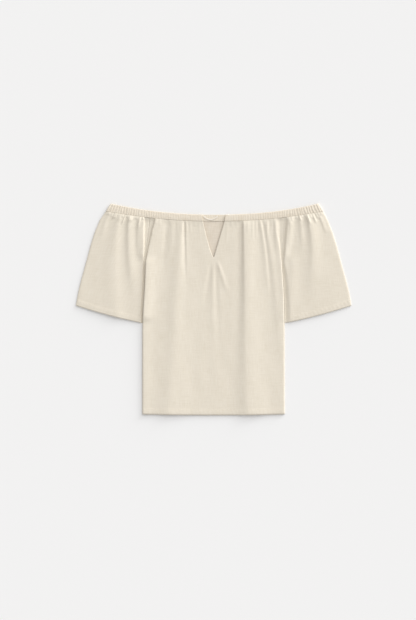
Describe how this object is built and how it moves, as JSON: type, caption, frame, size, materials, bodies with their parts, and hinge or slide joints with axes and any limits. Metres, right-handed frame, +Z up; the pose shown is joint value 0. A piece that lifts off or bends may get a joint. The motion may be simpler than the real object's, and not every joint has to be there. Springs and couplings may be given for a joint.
{
  "type": "off-shoulder top",
  "caption": "Short-sleeved off-shoulder top in plain woven cloth, laid flat, with a ruched elastic neckband, a V slit at the centre front, soft tucks and a straight hem",
  "frame": {"origin": "on the surface the garment lies on, under the middle of its outline", "axes": "+X towards the right of the garment as seen from above, +Y towards the neckline, +Z up through the layers from back to front"},
  "size_m": [0.758, 0.5814, 0.0066],
  "materials": {
    "cloth": "plain weave of cream linen and cotton yarns, matt, with fine slubs",
    "casing": "the same plain weave, ruched by flat elastic",
    "tape": "narrow woven tape"
  },
  "bodies": {
    "root": {"front": "cloth", "back": "cloth", "sleeve_left": "cloth", "sleeve_right": "cloth", "neckband": "casing", "neck_loop": "tape"}
  },
  "joints": []
}
